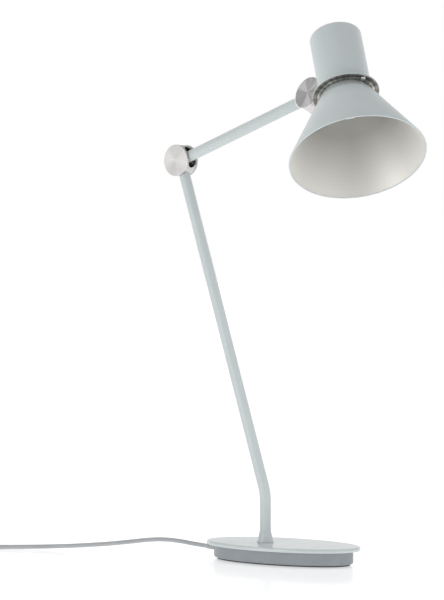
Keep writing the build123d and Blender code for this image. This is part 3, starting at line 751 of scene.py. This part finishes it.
# The floor glows a little, so that it meets the white around it without an edge
floor_glow = 0.36
floor_look = Look("floor_white", (0.97, 0.97, 0.97), 0.14)
floor_look.rough(floor_look.noise(3, 3), 0.12, 0.17)
floor_look.set("Emission Color", (1, 1, 1, 1))
floor_look.set("Emission Strength", floor_glow)
floor_mesh.materials.append(floor_look.material)


# ---------------------------------------------------------------- spun and turned pieces
# The cone is one sheet: a flange at the top, a straight flank and a rolled lip at the mouth
cone_top = 0.0016
cone_top_radius = 0.0308
cone_mouth_radius = 0.0815
cone_depth = 0.0938
cone_wall = 0.0010
flange_hole = 0.0240
flank = atan2(cone_mouth_radius - cone_top_radius, cone_depth - cone_top)
wall_across = cone_wall / cos(flank)
lip_radius = 0.0009
lip_centre = (cone_mouth_radius - wall_across / 2, cone_depth)
bend_across = 0.0006
bend_down = 0.0008
inner_bend_radius = cone_top_radius - wall_across
cone_profile = [
    (flange_hole, cone_top),
    (cone_top_radius - bend_across, cone_top),
    (cone_top_radius, cone_top + bend_down),
]
cone_profile += arc(*lip_centre, lip_radius, -20, 200, 14)
inside_start = len(cone_profile) - 2
cone_profile += [
    (inner_bend_radius + cone_wall * tan(flank) + 0.0004, cone_top + cone_wall + bend_down),
    (inner_bend_radius - 0.0010, cone_top + cone_wall),
    (flange_hole, cone_top + cone_wall),
]
cone = spun("cone_sheet", cone_profile, rim, shade_dir, side_dir, 256, inside_start)
cone.data.materials.append(paint)
cone.data.materials.append(silver)
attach(cone, "shade")
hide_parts("shade_cone")

# The ring under the rim: an outer band, a groove, and an inner band that rises to the cone
ring_bore = 0.0235
ring_back = 0.0004
ring_face = cone_top
ring_profile = [
    (ring_bore, ring_back), (0.0398, ring_back), (0.0398, 0.0013), (0.0395, ring_face),
    (0.0356, ring_face), (0.0354, 0.0012), (0.0350, 0.0012), (0.0348, ring_face),
    (0.0322, 0.0023), (0.0318, 0.0023), (0.0316, ring_face), (ring_bore, ring_face),
]
ring = spun("rim_ring", ring_profile, rim, shade_dir, side_dir, 256)
ring.data.materials.append(ring_steel)
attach(ring, "shade")
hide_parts("shade_ring")

# Its two screws: domed heads with a hexagon recess. Each ring of points is its radius, its height
# over the ring's face, and whether it is six-sided.
screw_circle = 0.036
screw_angles = (radians(14), radians(194))
shank_radius = 0.0015
shank_depth = 0.0028
head_radius = 0.0027
head_edge = 0.0006
dome_height = 0.0014
screw_rings = [
    (shank_radius, -shank_depth, False), (shank_radius, 0.0, False),
    (head_radius, 0.0, False), (head_radius, head_edge, False),
]
for angle in range(12, 60, 12):
    dome_radius = head_radius * cos(radians(angle))
    screw_rings.append((dome_radius, head_edge + dome_height * sin(radians(angle)), False))
screw_rings += [(0.00125, 0.00185, True), (0.00115, 0.0017, True), (0.00115, 0.0009, True)]
screw_points = 48
screws = []
for screw_angle in screw_angles:
    side = side_dir * cos(screw_angle) + shade_dir.cross(side_dir) * sin(screw_angle)
    foot = rim + side * screw_circle + shade_dir * cone_top
    across_screw = shade_dir.cross(side)
    turned = []
    for radius, depth, six_sided in screw_rings:
        loop = []
        for step in range(screw_points):
            angle = 2 * pi * step / screw_points
            reach = radius
            if six_sided:
                reach *= cos(pi / 6) / cos(angle % (pi / 3) - pi / 6)
            point = foot + side * reach * cos(angle) + across_screw * reach * sin(angle)
            loop.append(point + shade_dir * depth)
        turned.append(loop)
    screws.append(turned)
rim_screws = surface("rim_screws", screws)
rim_screws.data.materials.append(chrome)
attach(rim_screws, "shade")
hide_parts("ring_screws")

# The switch's return spring, a wound wire between the button's foot and the switch's floor
spring_low = -0.0791
spring_high = -0.0731
spring_radius = 0.0029
wire_radius = 0.0003
wire_points = 8
spring_turns = 4.5
steps_per_turn = 24
spring_rings = []
for step in range(int(spring_turns * steps_per_turn) + 1):
    angle = 2 * pi * step / steps_per_turn
    side = side_dir * cos(angle) + shade_dir.cross(side_dir) * sin(angle)
    climb = ease(step / (spring_turns * steps_per_turn))
    depth = spring_low + wire_radius + (spring_high - spring_low - 2 * wire_radius) * climb
    middle = rim + side * spring_radius + shade_dir * depth
    wire = [2 * pi * k / wire_points for k in range(wire_points)]
    spring_rings.append([middle + (side * cos(a) + shade_dir * sin(a)) * wire_radius for a in wire])
spring = surface("return_spring", [spring_rings])
spring.data.materials.append(zinc)
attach(spring, "shade")
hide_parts("switch_spring")
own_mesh(spring)
